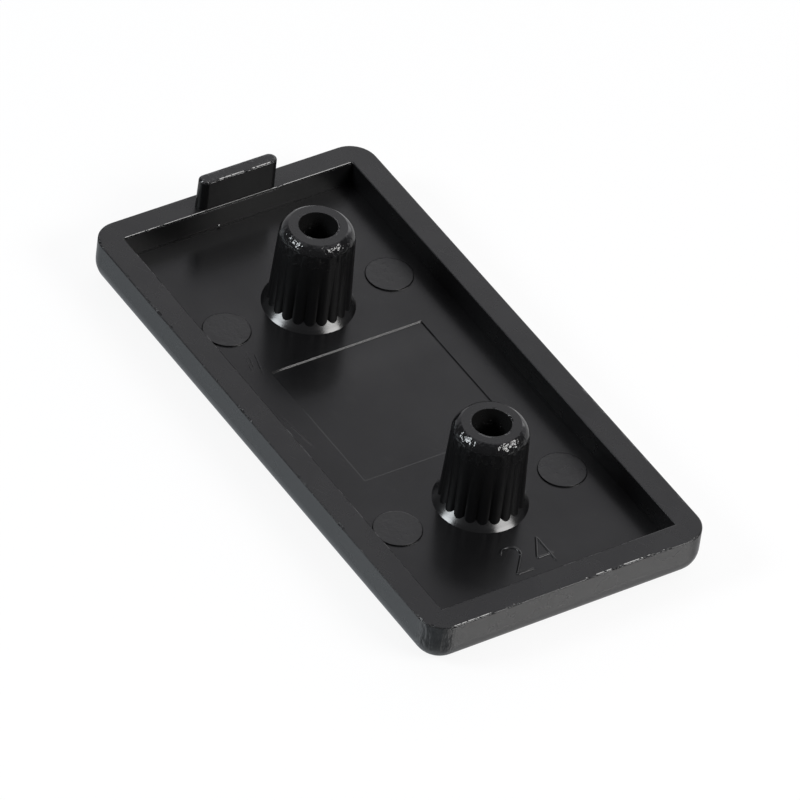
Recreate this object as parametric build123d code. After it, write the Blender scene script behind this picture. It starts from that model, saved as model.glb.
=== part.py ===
"""Profile end cap: one moulded piece that closes the cut end of a slotted profile.

A shallow rectangular tray covers the section.  Two hollow, ribbed studs press
into the core holes, and a short tab on one end of the rim drops into the slot.
Sizes are in millimetres.  Z = 0 is the outer face, +Z points into the profile,
and Y runs along the long side, with the tab at +Y.
"""
import os
from math import atan2, cos, degrees, radians, sin

from build123d import *

# The profile that the cap fits
core_pitch = 20.0            # between the core holes, and so between the studs
slot_opening = 6.2           # between the lips of the slot

# Cover plate and tray
cover_width = 20.3
cover_length = 40.5
cover_height = 3.2
rim_width = 1.7
floor_thickness = 1.5
corner_radius = 1.75         # upright corners
face_fillet = 1.6            # around the outer face
edge_break = 0.08            # on the rim's edges and the tab's top

# Studs
stud_projection = 4.7        # above the rim
foot_crest = 2.67            # radius over the ribs, at the tray floor
foot_groove = 2.45           # radius in the grooves between them
neck_crest = 2.44            # the same two at the base of the crown
neck_groove = 2.385
rib_count = 20
rib_phase = 5.0              # degrees from +X to the middle of the first rib
shoulder_radius = 2.45       # where the rounded lead-in starts
crown_radius = 1.87          # where it ends, at the flat ring on top
crown_drop = 1.0             # its height
collar_radius = 3.0          # conical foot, at 45 degrees
bore_radius = 1.25

# Tab
tab_length = slot_opening - 0.5
tab_thickness = 1.0
tab_height = 2.2             # above the rim
tab_draft = 1.0              # degrees on each side

# Marks of the mould on the tray floor
insert_width = 11.0          # sunk square between the studs
insert_length = 10.9
ejector_radius = 1.53        # raised discs
ejector_spread = 12.0        # across the tray, between disc centres
mark_step = 0.08             # how far the marks stand off the floor

tray_width = cover_width - 2 * rim_width
tray_length = cover_length - 2 * rim_width
stud_top = cover_height + stud_projection
crown_base = stud_top - crown_drop
stud_places = [Pos(0, core_pitch / 2, 0), Pos(0, -core_pitch / 2, 0)]


def cover():
    """Plate with a rounded outer face and a shallow tray on the inner side."""
    outline = RectangleRounded(cover_width, cover_length, corner_radius)
    plate = extrude(outline, cover_height)
    plate = fillet(plate.faces().sort_by(Axis.Z)[0].edges(), face_fillet)
    tray = extrude(Rectangle(tray_width, tray_length), cover_height - floor_thickness)
    plate -= Pos(0, 0, floor_thickness) * tray
    return fillet(plate.faces().sort_by(Axis.Z)[-1].edges(), edge_break)


def mould_marks():
    """The sunk square's cutter and the four raised ejector discs."""
    sunk = Pos(0, 0, floor_thickness) * Box(insert_width, insert_length, 2 * mark_step)
    disc = extrude(Circle(ejector_radius), mark_step)
    half = ejector_spread / 2
    raised = [
        place * Pos(side * half, 0, floor_thickness) * disc
        for place in stud_places
        for side in (-1, 1)
    ]
    return sunk, raised


def crown_cutter():
    """Blank that is wider than the ribs below the crown and closes in over it."""
    outline = Line((0, floor_thickness), (collar_radius, floor_thickness))
    outline += Line((collar_radius, floor_thickness), (shoulder_radius, crown_base))
    outline += TangentArc(
        (shoulder_radius, crown_base), (crown_radius, stud_top), tangent=(0, 1)
    )
    outline += Line((crown_radius, stud_top), (0, stud_top))
    outline += Line((0, stud_top), (0, floor_thickness))
    return revolve(Plane.XZ * make_face(outline), Axis.Z)


def ribs():
    """Round bars that lean into the core, so that they fade towards the crown."""
    half_pitch = radians(180 / rib_count)
    half_chord = foot_groove * sin(half_pitch)
    rise = foot_crest - foot_groove * cos(half_pitch)
    radius = (half_chord**2 + rise**2) / (2 * rise)

    height = crown_base - floor_thickness
    lean = degrees(atan2(foot_crest - neck_crest, height))
    middle = (foot_crest + neck_crest) / 2 - radius
    bar = Pos(middle, 0, floor_thickness + height / 2)
    bar *= Rot(0, -lean, 0) * Cylinder(radius, 2 * height)
    pitch = 360 / rib_count
    return [Rot(0, 0, rib_phase + pitch * rib) * bar for rib in range(rib_count)]


def stud():
    """Tapered core with its ribs and rounded crown, on a conical collar."""
    draft = (foot_groove - neck_groove) / (crown_base - floor_thickness)
    height = stud_top - floor_thickness
    core = Cone(foot_groove, foot_groove - draft * height, height)
    core = Pos(0, 0, floor_thickness + height / 2) * core
    shaft = (core + ribs()) & crown_cutter()

    rise = collar_radius - crown_radius
    collar = Cone(collar_radius, crown_radius, rise)
    return shaft + Pos(0, 0, floor_thickness + rise / 2) * collar


def bore():
    """Blind core hole, from the stud's top down to the level of the tray floor."""
    depth = stud_top - floor_thickness
    return Pos(0, 0, floor_thickness) * extrude(Circle(bore_radius), depth)


def tab():
    """Round-ended tab that stands just behind the tray's edge."""
    slab = extrude(
        SlotOverall(tab_length, tab_thickness), tab_height, taper=tab_draft
    )
    slab = fillet(slab.faces().sort_by(Axis.Z)[-1].edges(), edge_break)
    middle = tray_length / 2 + edge_break + tab_thickness / 2
    return Pos(0, middle, cover_height) * slab


def end_cap():
    """The whole moulding."""
    sunk, raised = mould_marks()
    body = cover() - sunk
    for disc in raised:
        body += disc
    one_stud = stud() - bore()
    for place in stud_places:
        body += place * one_stud
    return body + tab()


os.makedirs("parts", exist_ok=True)
export_step(end_cap(), "parts/end_cap.step")
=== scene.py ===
"""Looks of a moulded profile end cap, laid out as an add-on and run as a script.

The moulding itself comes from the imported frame.  This file gives it its black
plastic, adds the raised cavity number and sets up a plain white stage.
"""

from math import cos, pi, radians, sin, tan
from types import SimpleNamespace

import bmesh
import bpy
import numpy as np
from bpy.props import (
    FloatProperty,
    FloatVectorProperty,
    PointerProperty,
    StringProperty,
)
from mathutils import Matrix, Vector


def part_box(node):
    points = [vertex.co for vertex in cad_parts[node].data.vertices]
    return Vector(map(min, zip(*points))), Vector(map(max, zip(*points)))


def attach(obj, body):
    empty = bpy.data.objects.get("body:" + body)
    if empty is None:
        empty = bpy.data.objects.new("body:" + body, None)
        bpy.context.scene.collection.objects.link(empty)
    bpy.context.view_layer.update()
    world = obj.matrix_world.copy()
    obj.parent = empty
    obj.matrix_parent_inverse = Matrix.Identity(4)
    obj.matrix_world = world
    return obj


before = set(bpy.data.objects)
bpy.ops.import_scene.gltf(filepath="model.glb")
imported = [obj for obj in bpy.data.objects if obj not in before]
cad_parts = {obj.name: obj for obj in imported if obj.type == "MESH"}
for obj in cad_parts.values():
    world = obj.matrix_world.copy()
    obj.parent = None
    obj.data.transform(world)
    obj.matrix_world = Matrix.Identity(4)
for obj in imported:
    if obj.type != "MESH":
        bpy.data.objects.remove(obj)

bl_info = {
    "name": "Profile end cap",
    "version": (1, 0, 0),
    "blender": (4, 5, 0),
    "location": "View3D > Sidebar > End cap",
    "description": "Plastic, cavity number and stage for a moulded profile end cap",
    "category": "Object",
}

MM = 0.001
CAP_LOW, CAP_HIGH = (Vector(corner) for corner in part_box("end_cap"))

# Where the moulding's features lie, in millimetres in the row frame
FLOOR_LEVEL = 1.5
RIM_LEVEL = 3.2
CROWN_LEVEL = 6.9
TAB_LEVEL = 5.4
HALF_WIDTH = CAP_HIGH.x / MM
HALF_LENGTH = -CAP_LOW.y / MM
CORNER_RADIUS = 1.75
RIM_WIDTH = 1.7
FAR_WALL = HALF_LENGTH - RIM_WIDTH      # Y of the tray's wall by the tab
STUD_OFFSET = 10.0
SHAFT_RADIUS = 2.67
COLLAR_RADIUS = 3.0
BORE_RADIUS = 1.25
DISC_RADIUS = 1.53
DISC_OFFSET = 6.0
INSERT_HALF = (5.5, 5.45)
TAB_HALF = 2.35                         # X of the centres of the tab's round ends
TAB_MIDDLE = 19.13
TAB_ROUND = 0.46                        # their radius, at the tab's top
RIB_MEAN = 2.6                          # about the ribbed sides' mean radius, carried to Z = 0
RIB_DRAFT = 0.028                       # about what it loses over each mm of height

# Marks of use and of the mould, in millimetres
PIP_X, PIP_TOP = -1.35, 1.72            # small pip at the foot of the far wall
GLINTS = ((-8.5, -6.0), (1.7, 2.7), (3.7, 5.0))     # polished runs of the near edge
SCORES = (                              # start, end and width of scratches in the tray
    ((-5.8, 8.1), (-6.35, 5.9), 0.09),
    ((-6.15, 7.7), (-6.6, 5.7), 0.08),
    ((-5.5, 7.6), (-6.1, 5.4), 0.07),
    ((-7.2, 2.6), (-6.6, -2.4), 0.12),
)


# Shader building ---------------------------------------------------------------


class Wire:
    """A value running through a node tree.  Arithmetic on it adds Math nodes."""

    def __init__(self, paint, socket):
        self.paint = paint
        self.socket = socket

    def math(self, operation, *terms):
        inputs = dict(enumerate(terms))
        return self.paint.node("ShaderNodeMath", {"operation": operation}, inputs)

    def __add__(self, other):
        return self.math("ADD", self, other)

    def __sub__(self, other):
        return self.math("SUBTRACT", self, other)

    def __rsub__(self, other):
        return self.math("SUBTRACT", other, self)

    def __mul__(self, other):
        return self.math("MULTIPLY", self, other)

    def __truediv__(self, other):
        return self.math("DIVIDE", self, other)

    def __pow__(self, other):
        return self.math("POWER", self, other)

    def __abs__(self):
        return self.math("ABSOLUTE", self)

    __radd__ = __add__
    __rmul__ = __mul__

    def larger(self, other):
        return self.math("MAXIMUM", self, other)

    def smaller(self, other):
        return self.math("MINIMUM", self, other)

    def rise(self, low, high):
        """0 below low, 1 above high and a smooth step between them."""
        return self.paint.node(
            "ShaderNodeMapRange",
            {"interpolation_type": "SMOOTHSTEP"},
            {"Value": self, "From Min": low, "From Max": high},
        )

    def band(self, low, high, soft):
        """1 between low and high, fading over soft on either side."""
        return self.rise(low - soft, low) * (1 - self.rise(high, high + soft))


class Paint:
    """Node tree of a material or a world, filled by calls to node()."""

    def __init__(self, owner):
        owner.use_nodes = True
        self.tree = owner.node_tree
        self.tree.nodes.clear()

    def node(self, kind, settings=None, inputs=None, output=0):
        made = self.tree.nodes.new(kind)
        for name, value in (settings or {}).items():
            setattr(made, name, value)
        for key, value in (inputs or {}).items():
            if isinstance(value, Wire):
                self.tree.links.new(value.socket, made.inputs[key])
            else:
                made.inputs[key].default_value = value
        return Wire(self, made.outputs[output]) if made.outputs else None

    def split(self, vector):
        """The three parts of a vector as wires."""
        return [
            self.node("ShaderNodeSeparateXYZ", None, {0: vector}, axis)
            for axis in range(3)
        ]

    def scaled(self, vector, factors):
        """The vector times a fixed factor along each axis."""
        settings = {"operation": "MULTIPLY"}
        return self.node("ShaderNodeVectorMath", settings, {0: vector, 1: factors})

    def along(self, vector, aim):
        """How far the vector reaches along a fixed direction."""
        settings = {"operation": "DOT_PRODUCT"}
        inputs = {0: vector, 1: aim}
        return self.node("ShaderNodeVectorMath", settings, inputs, "Value")

    def turned(self, vector, angle, factors):
        """The vector turned about Z, then stretched, for marks that run one way."""
        inputs = {"Vector": vector, "Rotation": (0, 0, angle), "Scale": factors}
        return self.node("ShaderNodeMapping", {"vector_type": "TEXTURE"}, inputs)

    def noise(self, vector, scale, detail=2.0, rough=0.5):
        """Smooth noise around 0.5, scale lumps to the vector's unit."""
        inputs = {"Vector": vector, "Scale": scale, "Detail": detail}
        inputs["Roughness"] = rough
        return self.node("ShaderNodeTexNoise", None, inputs)

    def mixed(self, factor, first, second):
        """A colour between first and second."""
        ends = [end if isinstance(end, Wire) else (*end, 1) for end in (first, second)]
        return self.node(
            "ShaderNodeMix",
            {"data_type": "RGBA"},
            {"Factor": factor, "A": ends[0], "B": ends[1]},
            "Result",
        )


def corner_distance(x, y, half_x, half_y):
    """Distance from the corner (half_x, half_y), taken in all four quarters."""
    beside_x = abs(x) - half_x
    beside_y = abs(y) - half_y
    return (beside_x * beside_x + beside_y * beside_y) ** 0.5


def scored(x, y, start, end, width):
    """1 along a straight score from start to end, 0 beside it, in millimetres."""
    run = Vector(end) - Vector(start)
    length = run.length
    run = run / length
    along = (x - start[0]) * run.x + (y - start[1]) * run.y
    across = abs((x - start[0]) * run.y - (y - start[1]) * run.x)
    taper = along.rise(0, 0.3 * length) * (1 - along.rise(0.6 * length, length))
    return taper * (1 - across.rise(0.2 * width, width))


class Moulding:
    """Places on the moulding in millimetres, and masks that are 1 in one zone each.

    The masks follow the moulding's own sizes, so each zone keeps its finish.
    """

    def __init__(self, paint):
        place = paint.node("ShaderNodeTexCoord", None, None, "Object")
        facing = paint.node("ShaderNodeTexCoord", None, None, "Normal")
        self.mm = paint.scaled(place, (1 / MM, 1 / MM, 1 / MM))
        self.x, self.y, self.z = paint.split(self.mm)
        self.upward = paint.split(facing)[2]
        self.upright = 1 - self.upward.rise(0.3, 0.5)
        self.measure_insets()
        self.mark_studs()
        self.mark_plate()

    def measure_insets(self):
        """How far each point lies inside the edges of the rim, the tray and the tab."""
        x, y = self.x, self.y
        self.over_x = (abs(x) - (HALF_WIDTH - CORNER_RADIUS)).larger(0)
        self.over_y = (abs(y) - (HALF_LENGTH - CORNER_RADIUS)).larger(0)
        over = self.over_x * self.over_x + self.over_y * self.over_y
        self.inset = CORNER_RADIUS - over ** 0.5
        self.tray_x = abs(x) - (HALF_WIDTH - RIM_WIDTH)
        self.tray_y = abs(y) - (HALF_LENGTH - RIM_WIDTH)
        end = (abs(x) - TAB_HALF).larger(0)
        side = y - TAB_MIDDLE
        self.tab_inset = TAB_ROUND - (end * end + side * side) ** 0.5

    def mark_studs(self):
        """Masks of crowns, ribbed sides, collars and bores."""
        x, y, z, upward = self.x, self.y, self.z, self.upward
        self.reach = corner_distance(x, y, 0, STUD_OFFSET)
        self.beside = y - STUD_OFFSET * (2 * y.rise(-1, 1) - 1)
        front = (-0.62 * x - 0.79 * self.beside).rise(0, 1)
        self.above = z.rise(CROWN_LEVEL - 0.4, CROWN_LEVEL + 0.1)
        self.shoulder = self.above * upward.band(0.4, 0.82, 0.06) * front
        self.far_side = self.above * upward.band(0.15, 0.95, 0.05) * (1 - front)
        self.on_stud = 1 - self.reach.rise(SHAFT_RADIUS, SHAFT_RADIUS + 0.1)
        shaft = self.on_stud * self.reach.rise(BORE_RADIUS + 0.1, BORE_RADIUS + 0.4)
        self.shaft = shaft * (1 - upward.rise(0.3, 0.55))
        self.barrel = self.shaft * (1 - self.above)
        foot = 1 - self.reach.rise(COLLAR_RADIUS, COLLAR_RADIUS + 0.05)
        low = 1 - z.rise(FLOOR_LEVEL + 0.8, FLOOR_LEVEL + 1.0)
        self.collar = foot * upward.band(0.5, 0.9, 0.1) * low
        # Walls of the bores, where the colour is painted lighter as painted light
        self.bore = (1 - self.reach.rise(BORE_RADIUS, BORE_RADIUS + 0.08)) * self.upright

    def mark_plate(self):
        """Masks of the tray, the rim, the tab and one corner that rubbing has marked."""
        x, y, z, upward = self.x, self.y, self.z, self.upward
        self.floor = 1 - z.rise(FLOOR_LEVEL + 0.12, FLOOR_LEVEL + 0.2)
        self.rim = z.band(RIM_LEVEL - 0.2, RIM_LEVEL + 0.2, 0.1) * upward.rise(0.2, 0.4)
        self.far_wall = y.rise(FAR_WALL - 0.25, FAR_WALL - 0.05) * self.upright
        low = 1 - z.rise(FLOOR_LEVEL + 0.02, FLOOR_LEVEL + 0.08)
        self.seam = low * y.rise(FAR_WALL - 0.13, FAR_WALL - 0.05)
        far_end = y.rise(FAR_WALL - 0.55, FAR_WALL - 0.35)
        self.tab = z.rise(RIM_LEVEL + 0.05, RIM_LEVEL + 0.1) * far_end
        high = z.rise(TAB_LEVEL - 0.5, TAB_LEVEL - 0.3)
        self.tab_top = high * far_end * upward.rise(0.2, 0.4)
        corner = (self.over_x * self.over_y).rise(0, 0.5)
        self.near_corner = corner * (1 - (x + y).rise(-20, -15)) * self.upright


def mould_marks(paint, at, look):
    """Ejector discs, the sunk square, the pip and scratches, each 1 on the mark."""
    x, y = at.x, at.y
    pins = corner_distance(x, y, DISC_OFFSET, STUD_OFFSET)
    half = look.soft_edge / 2
    discs = 1 - pins.rise(DISC_RADIUS - half, DISC_RADIUS + half)
    square = (abs(x) - INSERT_HALF[0]).larger(abs(y) - INSERT_HALF[1])
    sunk = (0.5 - square / look.insert_ramp).larger(0).smaller(1)
    scores = scored(x, y, *SCORES[0])
    for score in SCORES[1:]:
        scores = scores.larger(scored(x, y, *score))
    wedge = (PIP_TOP - at.z).larger(0).smaller(0.14) * at.z.rise(PIP_TOP - 0.16, PIP_TOP - 0.14)
    rubs_one = paint.noise(paint.turned(at.mm, radians(38), (3.2, 0.07, 1.0)), 1.0, 2.0)
    rubs_two = paint.noise(paint.turned(at.mm, radians(-63), (2.4, 0.05, 1.0)), 1.0, 2.0)
    rubs = rubs_one.rise(0.66, 0.78) + rubs_two.rise(0.68, 0.78)
    return SimpleNamespace(
        discs=discs,
        sunk=sunk,
        lip=y.rise(2.5, 5.4) * x.rise(-8.5, -3.5) * 0.8 + 0.16,
        step=sunk * (1 - sunk) * at.floor * y.rise(5, 5.3) * 3,
        pits=paint.noise(at.mm, 2.2, 4.0, 0.65) * discs * at.floor,
        pip=wedge * (1 - abs(x - PIP_X).rise(0.06, 0.12)) * at.far_wall,
        scores=scores * at.floor,
        rubs=rubs * at.upward.rise(0.95, 1.0) * (1 - at.above),
    )


def worn_edges(paint, at, flecks):
    """Flats at 45 degrees along the edges, as deep in mm as the wear at each place.

    Also the crease, a matt line in stretches along the tray's edge.
    """
    x, y = at.x, at.y
    wear = paint.noise(at.mm, 0.8, 4.0, 0.65)
    runs = sum(x.band(start, end, 0.2) for start, end in GLINTS)
    glints = runs * (1 - y.rise(-20, -19)) * (1 - flecks * 0.6)
    worn = wear.rise(0.54, 0.6).larger(glints) * (1 - (x + y * 0.5).rise(6, 8))
    outer = (0.15 - at.inset).larger(0).smaller(0.07) * at.rim * worn
    inner = (0.13 - abs(at.tray_y)).larger(0) * at.rim
    inner = inner * y.rise(0, 1) * (1 - at.tray_x.rise(-0.1, 0))
    inner = inner * (0.6 + wear.rise(0.36, 0.42) * 0.42)
    tab = (0.16 - at.tab_inset).larger(0).smaller(0.11) * at.tab_top
    tab = tab * (0.3 + wear.rise(0.42, 0.5) * 0.75 - flecks * 0.4)
    bore = (BORE_RADIUS + 0.12 - at.reach).larger(0) * at.above * at.upward.rise(0.5, 0.7)
    bore = bore * wear.rise(0.52, 0.6)
    wall = (at.z - RIM_LEVEL + 0.09).larger(0) * at.far_wall
    wall = wall * (1 - abs(x).rise(2.7, 3.0)) * (1 - at.tab)
    crease = (1 - abs(at.tray_x.larger(at.tray_y)).rise(0.04, 0.1)) * at.rim
    crease = crease * (1 - (x + y * 0.3).rise(-1, 1)) * wear.rise(0.42, 0.5)
    return SimpleNamespace(flats=outer + inner + tab + bore, wall=wall, crease=crease)


def collar_slope(paint, at):
    """The shading direction: the mesh's own, but on the collars their true 45 degrees."""
    parts = {0: at.x / at.reach, 1: at.beside / at.reach, 2: 1}
    outward = paint.node(
        "ShaderNodeVectorTransform",
        {"vector_type": "NORMAL", "convert_from": "OBJECT", "convert_to": "WORLD"},
        {0: paint.node("ShaderNodeCombineXYZ", None, parts)},
    )
    own = paint.node("ShaderNodeNewGeometry", None, None, "Normal")
    inputs = {"Factor": at.collar, "A": own, "B": outward}
    return paint.node("ShaderNodeMix", {"data_type": "VECTOR"}, inputs, "Result")


def black_plastic(name, look):
    """Black moulded plastic: polished collars, satin walls and sparked crowns.

    The crowns carry the grain that spark erosion leaves, the collars are
    smoother, the ribbed sides are dull, and the flat floor and rim are a fine
    satin.  The dull zones reflect less, through a second surface of lower index.
    """
    material = bpy.data.materials.new(name)
    paint = Paint(material)
    at = Moulding(paint)
    cloud = paint.noise(at.mm, 0.35, 3.0)
    grain = paint.noise(at.mm, 6.0, 2.0)
    spark = paint.noise(at.mm, look.spark_scale, 1.5, 0.5)
    ridges = paint.noise(paint.scaled(at.mm, (3.0, 3.0, 1.2)), 1.0, 2.0)
    flecks = paint.noise(at.mm, 5.0, 2.0).rise(0.58, 0.66)
    marks = mould_marks(paint, at, look)
    wear = worn_edges(paint, at, flecks)
    shaded = at.far_wall * (0.15 + at.x.rise(-8, 8) * 0.35 + at.tab * 0.3)
    dull = at.shaft.larger(shaded).larger(wear.crease).larger(at.seam * 0.35)
    edges = wear.flats.rise(0.0, 0.03).larger(marks.step)

    rough = look.satin + (cloud - 0.5) * 0.08 + (grain - 0.5) * 0.01
    rough = rough + marks.rubs * 0.04 + marks.pits * 0.16 + marks.scores * 0.08
    rough = rough + at.shoulder * (look.sparked - look.satin) - at.far_side * 0.13
    rough = rough + at.collar * (look.polished - look.satin)
    rough = rough + dull * (look.ribbed - look.satin) + wear.crease * 0.5
    rough = rough - at.floor * 0.05 - edges * 0.12

    height = spark * at.shoulder * look.spark_depth - wear.flats - wear.wall
    height = height + flecks * at.on_stud * at.z.band(6.35, CROWN_LEVEL, 0.15) * 0.03
    height = height + flecks * at.tab_top * (1 - at.tab_inset.rise(0.2, 0.4)) * 0.02
    height = height + ridges * at.near_corner * 0.12 + marks.pip
    ribs = (at.reach + at.z * RIB_DRAFT - RIB_MEAN) * at.barrel
    height = height - ribs * look.rib_softness + grain * (1 - at.collar) * look.grain_depth
    sunk = marks.sunk * marks.lip * look.insert_depth
    height = height + (marks.discs * look.soft_edge - sunk) * at.floor
    height = height + marks.pits * 0.02 - marks.scores * 0.006 - marks.rubs * 0.0008
    relief = {"Height": height, "Distance": MM, "Normal": collar_slope(paint, at)}
    bump = paint.node("ShaderNodeBump", None, relief)

    colour = paint.mixed(cloud.rise(0.3, 0.7), look.colour, look.colour_light)
    # Painted light: the bores' walls get a lighter colour in place of the light that hardly
    # reaches inside them
    colour = paint.mixed(at.bore, colour, look.colour_bore_painted_light)
    coated = {"Base Color": colour, "Roughness": rough, "IOR": 1.5, "Normal": bump}
    glossy = paint.node("ShaderNodeBsdfPrincipled", None, coated)
    matted = paint.node("ShaderNodeBsdfPrincipled", None, {**coated, "IOR": 1.27})
    surface = paint.node("ShaderNodeMixShader", None, {0: dull, 1: glossy, 2: matted})
    paint.node("ShaderNodeOutputMaterial", None, {"Surface": surface})
    return material


# Surfaces ------------------------------------------------------------------------


def mesh_of_grids(name, grids):
    """One mesh of closed skins.  Each grid is rows x columns x 3, in metres.

    Columns close on themselves and each end row has shrunk to a point, so a
    skin is shut once its doubles are merged.
    """
    vertices, faces, base = [], [], 0
    for grid in grids:
        rows, columns = grid.shape[:2]
        index = base + np.arange(rows * columns).reshape(rows, columns)
        after = np.roll(index, -1, axis=1)
        quads = np.stack([index[:-1], after[:-1], after[1:], index[1:]], axis=-1)
        vertices.append(grid.reshape(-1, 3))
        faces.append(quads.reshape(-1, 4))
        base += rows * columns
    mesh = bpy.data.meshes.new(name)
    mesh.from_pydata(np.concatenate(vertices).tolist(), [], np.concatenate(faces).tolist())
    work = bmesh.new()
    work.from_mesh(mesh)
    bmesh.ops.remove_doubles(work, verts=work.verts, dist=1e-7)
    bmesh.ops.recalc_face_normals(work, faces=work.faces)
    work.to_mesh(mesh)
    work.free()
    mesh.shade_smooth()
    return mesh


def line_path(start, end, samples=24):
    """Points start + t (end - start), t from 0 to 1."""
    t = np.linspace(0, 1, samples)[:, None]
    return np.array(start) + t * (np.array(end) - np.array(start))


def arc_path(centre, radius, first, last, samples=48):
    """Points centre + radius (cos a, sin a), a from first to last in degrees."""
    a = np.radians(np.linspace(first, last, samples))
    return np.array(centre) + radius * np.stack([np.cos(a), np.sin(a)], axis=-1)


def raised_stroke(path, width, height, level, around=20):
    """A low round-backed bead along a flat path.

    At distance s along the path and angle a round the bead the point is
    path(s) + side(s) c w cos a, with its height level + h c sin a.  The swell c
    is the root of 1 - e squared, where e runs from 0 to 1 over the last half
    width at each end, so the ends are round.
    """
    run = np.gradient(path, axis=0)
    steps = np.linalg.norm(np.diff(path, axis=0), axis=1)
    along = np.concatenate([[0], np.cumsum(steps)])
    side = np.stack([-run[:, 1], run[:, 0]], axis=-1)
    side /= np.linalg.norm(side, axis=1, keepdims=True)

    end = width / 2
    dense = np.concatenate([
        end * (1 - np.cos(np.linspace(0, pi / 2, 8))),
        np.linspace(end, along[-1] - end, len(path))[1:-1],
        along[-1] - end * (1 - np.cos(np.linspace(pi / 2, 0, 8))),
    ])
    centre = np.stack([np.interp(dense, along, path[:, k]) for k in (0, 1)], axis=-1)
    across = np.stack([np.interp(dense, along, side[:, k]) for k in (0, 1)], axis=-1)
    near_end = np.minimum(dense, along[-1] - dense)
    e = np.clip(1 - near_end / end, 0, 1)
    swell = np.sqrt(np.clip(1 - e**2, 0, 1))[:, None]

    a = np.linspace(0, 2 * pi, around, endpoint=False)
    flat = centre[:, None] + across[:, None] * (swell * end * np.cos(a))[..., None]
    up = level + height * swell * np.sin(a)
    return np.concatenate([flat, up[..., None]], axis=-1)


def digit_paths(digit, height):
    """Centre lines of a plain numeral, its foot at y = 0 and its middle at x = 0."""
    half = 0.27 * height
    if digit == "2":
        foot = (-half, 0.0)
        turn = arc_path((0, height - half), half, 165, -35)
        return [turn, line_path(turn[-1], foot), line_path(foot, (half, 0.0))]
    if digit == "4":
        bar = 0.3 * height
        return [
            line_path((0.55 * half, 0), (0.55 * half, height)),
            line_path((0.55 * half, height), (-half, bar)),
            line_path((-half, bar), (half, bar)),
        ]
    raise ValueError(f"no centre lines for the numeral {digit}")


# Settings ------------------------------------------------------------------------


class EndCapPlastic(bpy.types.PropertyGroup):
    """Finish of the moulded plastic."""

    colour: FloatVectorProperty(
        name="Colour",
        description="Body colour of the plastic",
        subtype="COLOR",
        size=3,
        default=(0.0050, 0.0050, 0.0053),
    )
    # Painted light: a lighter colour for the bores' walls, standing in for the light that hardly
    # reaches inside them
    colour_bore_painted_light: FloatVectorProperty(
        name="Bore colour",
        description="Colour inside the unpolished bores",
        subtype="COLOR",
        size=3,
        default=(0.0095, 0.0095, 0.0095),
    )
    colour_light: FloatVectorProperty(
        name="Lighter colour",
        description="Colour where the pigment is a little thinner",
        subtype="COLOR",
        size=3,
        default=(0.0058, 0.0058, 0.0061),
    )
    satin: FloatProperty(
        name="Satin", description="Roughness of flat floor, rim and walls", default=0.27
    )
    sparked: FloatProperty(
        name="Sparked", description="Roughness of the spark-eroded crowns", default=0.13
    )
    polished: FloatProperty(
        name="Polished", description="Roughness of the collars", default=0.24
    )
    ribbed: FloatProperty(
        name="Ribbed", description="Roughness of the ribbed stud sides", default=0.4
    )
    rib_softness: FloatProperty(
        name="Rib softness", description="Share of the ribs' relief that looks worn away",
        default=0.62,
    )
    insert_depth: FloatProperty(
        name="Insert depth", description="How deep the square insert sits, in mm", default=0.048
    )
    insert_ramp: FloatProperty(
        name="Insert ramp", description="Width of the square insert's edge, in mm", default=0.045
    )
    spark_depth: FloatProperty(
        name="Spark depth", description="Grain depth on the crowns, in mm", default=0.075
    )
    spark_scale: FloatProperty(
        name="Spark scale", description="Grains per mm on the crowns", default=3.6
    )
    soft_edge: FloatProperty(
        name="Soft edge", description="Width of the mould marks' edges, in mm", default=0.07
    )
    grain_depth: FloatProperty(
        name="Grain depth", description="Depth of the fine satin grain, in mm", default=0.0001
    )


class EndCapMark(bpy.types.PropertyGroup):
    """Raised cavity number on the tray floor."""

    numerals: StringProperty(
        name="Numerals", description="Plain cavity number", default="24"
    )
    height: FloatProperty(
        name="Height", description="Height of a numeral", default=2.3 * MM, unit="LENGTH"
    )
    pitch: FloatProperty(
        name="Pitch", description="Between numeral centres", default=1.9 * MM, unit="LENGTH"
    )
    stroke: FloatProperty(
        name="Stroke", description="Width of a stroke", default=0.18 * MM, unit="LENGTH"
    )
    relief: FloatProperty(
        name="Relief", description="Height above the floor", default=0.06 * MM, unit="LENGTH"
    )
    foot: FloatProperty(
        name="Foot", description="Y of the numerals' feet", default=-16.6 * MM, unit="LENGTH"
    )


class EndCapStage(bpy.types.PropertyGroup):
    """Camera, lamps and floor."""

    turn: FloatProperty(
        name="Turn", description="Camera azimuth", default=radians(-37.62), subtype="ANGLE"
    )
    tilt: FloatProperty(
        name="Tilt", description="Camera elevation", default=radians(41.88), subtype="ANGLE"
    )
    roll: FloatProperty(
        name="Roll", description="Camera roll", default=radians(7.98), subtype="ANGLE"
    )
    distance: FloatProperty(
        name="Distance", description="Camera to its target", default=536.6 * MM, unit="LENGTH"
    )
    target: FloatVectorProperty(
        name="Target",
        description="Point in the middle of the view",
        subtype="TRANSLATION",
        size=3,
        default=(1.393 * MM, 1.145 * MM, 0.0),
    )
    lens: FloatProperty(
        name="Lens", description="Focal length in mm", default=389.5, min=1.0
    )
    room: FloatProperty(
        name="Room", description="Brightness of the dim side of the room", default=0.12
    )
    backdrop: FloatProperty(
        name="Backdrop", description="Brightness of the far side of the room", default=0.53
    )
    ceiling: FloatProperty(
        name="Ceiling", description="Brightness added overhead", default=0.7
    )
    lamp_distance: FloatProperty(
        name="Lamp distance", description="Lamps to the object", default=0.35, unit="LENGTH"
    )


# Operators -----------------------------------------------------------------------


class ENDCAP_OT_plastic(bpy.types.Operator):
    """Give the moulding its black plastic"""

    bl_idname = "endcap.plastic"
    bl_label = "Black plastic"

    def execute(self, context):
        material = black_plastic("black plastic", context.scene.end_cap_plastic)
        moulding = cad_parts["end_cap"]
        for slot in moulding.material_slots:
            slot.material = material
        return {"FINISHED"}


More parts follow.
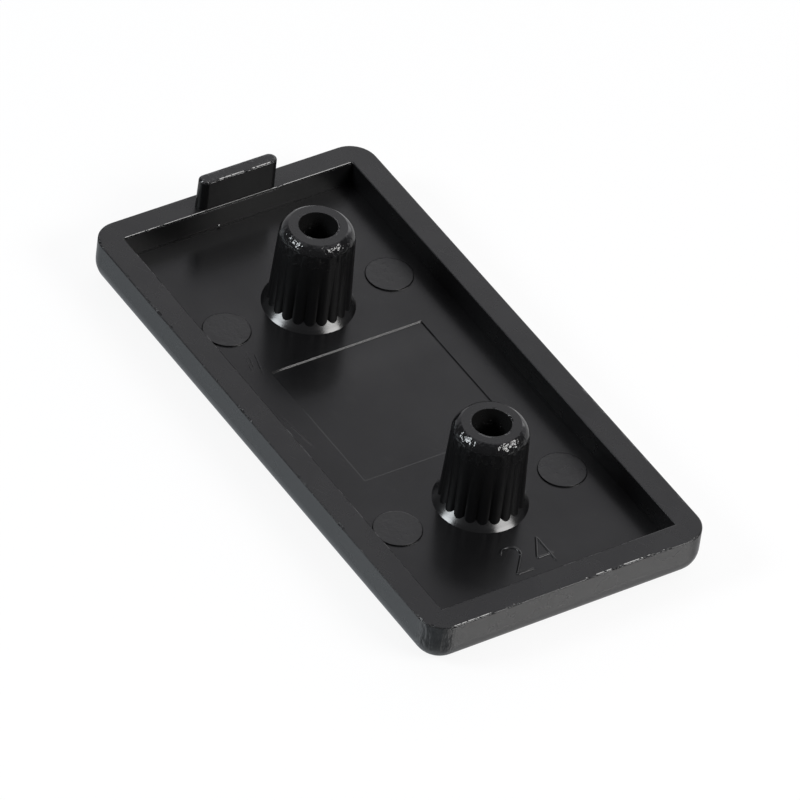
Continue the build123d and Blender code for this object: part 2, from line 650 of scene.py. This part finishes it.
class ENDCAP_OT_cavity_number(bpy.types.Operator):
    """Raise the cavity number on the tray floor"""

    bl_idname = "endcap.cavity_number"
    bl_label = "Cavity number"

    def execute(self, context):
        mark = context.scene.end_cap_mark
        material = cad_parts["end_cap"].material_slots[0].material
        count = len(mark.numerals)
        grids = []
        for place, digit in enumerate(mark.numerals):
            middle = (place - (count - 1) / 2) * mark.pitch
            for path in digit_paths(digit, mark.height):
                moved = path + np.array([middle, mark.foot])
                level = FLOOR_LEVEL * MM
                grids.append(raised_stroke(moved, mark.stroke, mark.relief, level))
        number = bpy.data.objects.new("cavity_number", mesh_of_grids("cavity_number", grids))
        context.scene.collection.objects.link(number)
        number.data.materials.append(material)
        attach(number, "root")
        return {"FINISHED"}


def direction(azimuth, elevation):
    """Unit vector, azimuth from +X towards +Y and elevation above the floor."""
    level = cos(elevation)
    return Vector((level * cos(azimuth), level * sin(azimuth), sin(elevation)))


def facing_matrix(place, towards):
    """Matrix of a lamp or camera at place that looks towards a point, level."""
    back = (place - towards).normalized()
    right = Vector((0, 0, 1)).cross(back).normalized()
    up = back.cross(right)
    turn = Matrix((right, up, back)).transposed().to_4x4()
    return Matrix.Translation(place) @ turn


def add_panel(context, name, azimuth, elevation, width, height, radiance, colour):
    """Soft panel whose angles are as seen from the object, at the lamp distance."""
    distance = context.scene.end_cap_stage.lamp_distance
    lamp = bpy.data.lights.new(name, "AREA")
    lamp.shape = "RECTANGLE"
    lamp.size = 2 * distance * tan(radians(width) / 2)
    lamp.size_y = 2 * distance * tan(radians(height) / 2)
    lamp.energy = radiance * pi * lamp.size * lamp.size_y
    lamp.color = colour
    panel = bpy.data.objects.new(name, lamp)
    context.scene.collection.objects.link(panel)
    place = distance * direction(radians(azimuth), radians(elevation))
    panel.matrix_world = facing_matrix(place, Vector((0, 0, 3 * MM)))
    return panel


def white_floor():
    """Polished white table: plain white to the eye, with a faint soft shadow.

    Gloss sees painted reflections: a glowing pale table, painted cooler on the left and
    painted dark on the viewer's side, mixed with the room mirrored in it.  Light bounces off it
    as off matt white.
    """
    material = bpy.data.materials.new("white floor")
    paint = Paint(material)
    path, mix = "ShaderNodeLightPath", "ShaderNodeMixShader"
    matt = paint.node("ShaderNodeBsdfDiffuse", None, {"Color": (0.9, 0.9, 0.9, 1)})
    white = paint.node("ShaderNodeEmission", None, {"Color": (1, 1, 1, 1), "Strength": 1.0})
    polish = paint.node(
        "ShaderNodeBsdfGlossy", None, {"Color": (0.9, 0.9, 0.9, 1), "Roughness": 0.45}
    )
    place = paint.node("ShaderNodeTexCoord", None, None, "Object")
    # Painted reflections, seen in gloss only: the floor glows pale and bluer left of x = -6 mm,
    # and only dimly 28 to 50 mm out towards the viewer
    behind = paint.along(place, direction(radians(-128), 0))
    beside = paint.split(place)[0].rise(-12 * MM, -6 * MM)
    painted_reflection_tint = paint.mixed(beside, (0.5, 0.56, 0.6), (0.55, 0.55, 0.55))
    painted_dark_reflection = paint.node("ShaderNodeEmission", None, {"Color": (0.05, 0.05, 0.05, 1)})
    pale = paint.node("ShaderNodeEmission", None, {"Color": painted_reflection_tint})
    pale = paint.node(mix, None, {0: behind.rise(28 * MM, 50 * MM), 1: pale, 2: painted_dark_reflection})
    shown = paint.node(mix, None, {0: 0.88, 1: matt, 2: white})
    # What gloss sees: 65 % painted glow and 35 % real mirrored room
    mirrored = paint.node(mix, None, {0: 0.35, 1: pale, 2: polish})
    seen = paint.node(path, None, None, "Is Camera Ray")
    gloss = paint.node(path, None, None, "Is Glossy Ray")
    surface = paint.node(mix, None, {0: seen, 1: matt, 2: shown})
    surface = paint.node(mix, None, {0: gloss, 1: surface, 2: mirrored})
    paint.node("ShaderNodeOutputMaterial", None, {"Surface": surface})
    return material


def studio_room(stage):
    """Room that is dim behind the camera and pale beyond the object and overhead."""
    world = bpy.data.worlds.new("studio")
    paint = Paint(world)
    way = paint.node("ShaderNodeTexCoord", None, None, "Generated")
    up = paint.split(way)[2]
    beyond = paint.along(way, direction(radians(50), 0))
    light = stage.room + beyond.rise(0.4, 0.95) * stage.backdrop
    light = light + up.rise(0.66, 0.82) * beyond.rise(-0.7, 0.1) * stage.ceiling
    room = paint.node(
        "ShaderNodeBackground", None, {"Color": (0.957, 0.95, 1.0, 1), "Strength": light}
    )
    white = paint.node("ShaderNodeBackground", None, {"Color": (1, 1, 1, 1)})
    seen = paint.node("ShaderNodeLightPath", None, None, "Is Camera Ray")
    shown = paint.node("ShaderNodeMixShader", None, {0: seen, 1: room, 2: white})
    paint.node("ShaderNodeOutputWorld", None, {"Surface": shown})
    return world


class ENDCAP_OT_stage(bpy.types.Operator):
    """Set up the floor, the lamps and the camera"""

    bl_idname = "endcap.stage"
    bl_label = "Stage"

    def execute(self, context):
        stage = context.scene.end_cap_stage
        self.lay_floor(context)
        self.light_room(context, stage)
        self.place_camera(context, stage)
        context.scene.view_settings.view_transform = "Standard"
        return {"FINISHED"}

    def lay_floor(self, context):
        spread = 3.0
        corners = [(-spread, -spread, 0), (spread, -spread, 0)]
        corners += [(spread, spread, 0), (-spread, spread, 0)]
        mesh = bpy.data.meshes.new("floor")
        mesh.from_pydata(corners, [], [(0, 1, 2, 3)])
        mesh.materials.append(white_floor())
        floor = bpy.data.objects.new("floor", mesh)
        floor.location.z = CAP_LOW.z - 0.02 * MM
        context.scene.collection.objects.link(floor)

    def light_room(self, context, stage):
        context.scene.world = studio_room(stage)
        add_panel(context, "left box", 160, 35, 20, 16, 17.5, (0.92, 0.97, 1.0))
        add_panel(context, "right box", -59, 36, 32, 16, 13.5, (1.0, 0.99, 0.98))
        add_panel(context, "back sheet", 38, 20, 50, 32, 1.1, (1.0, 1.0, 1.0))

    def place_camera(self, context, stage):
        lens = bpy.data.cameras.new("camera")
        lens.lens = stage.lens
        lens.sensor_width = 36
        lens.clip_end = 20
        camera = bpy.data.objects.new("camera", lens)
        context.scene.collection.objects.link(camera)
        target = Vector(stage.target)
        towards = direction(stage.turn - pi / 2, stage.tilt)
        place = target + stage.distance * towards
        camera.matrix_world = facing_matrix(place, target) @ Matrix.Rotation(
            stage.roll, 4, "Z"
        )
        context.scene.camera = camera


class ENDCAP_PT_panel(bpy.types.Panel):
    """Steps and settings of the end cap"""

    bl_idname = "ENDCAP_PT_panel"
    bl_label = "End cap"
    bl_space_type = "VIEW_3D"
    bl_region_type = "UI"
    bl_category = "End cap"

    def draw(self, context):
        scene = context.scene
        for operator, group in STEPS:
            self.layout.operator(operator)
            settings = getattr(scene, group)
            for name in settings.bl_rna.properties.keys():
                if name not in ("rna_type", "name"):
                    self.layout.prop(settings, name)


STEPS = (
    ("endcap.plastic", "end_cap_plastic"),
    ("endcap.cavity_number", "end_cap_mark"),
    ("endcap.stage", "end_cap_stage"),
)
GROUPS = {
    "end_cap_plastic": EndCapPlastic,
    "end_cap_mark": EndCapMark,
    "end_cap_stage": EndCapStage,
}
CLASSES = (
    *GROUPS.values(),
    ENDCAP_OT_plastic,
    ENDCAP_OT_cavity_number,
    ENDCAP_OT_stage,
    ENDCAP_PT_panel,
)


def register():
    for cls in CLASSES:
        bpy.utils.register_class(cls)
    for name, group in GROUPS.items():
        setattr(bpy.types.Scene, name, PointerProperty(type=group))


def unregister():
    for name in GROUPS:
        delattr(bpy.types.Scene, name)
    for cls in reversed(CLASSES):
        bpy.utils.unregister_class(cls)


def main():
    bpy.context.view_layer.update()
    register()
    bpy.ops.endcap.plastic()
    bpy.ops.endcap.cavity_number()
    bpy.ops.endcap.stage()


if __name__ == "__main__":
    main()
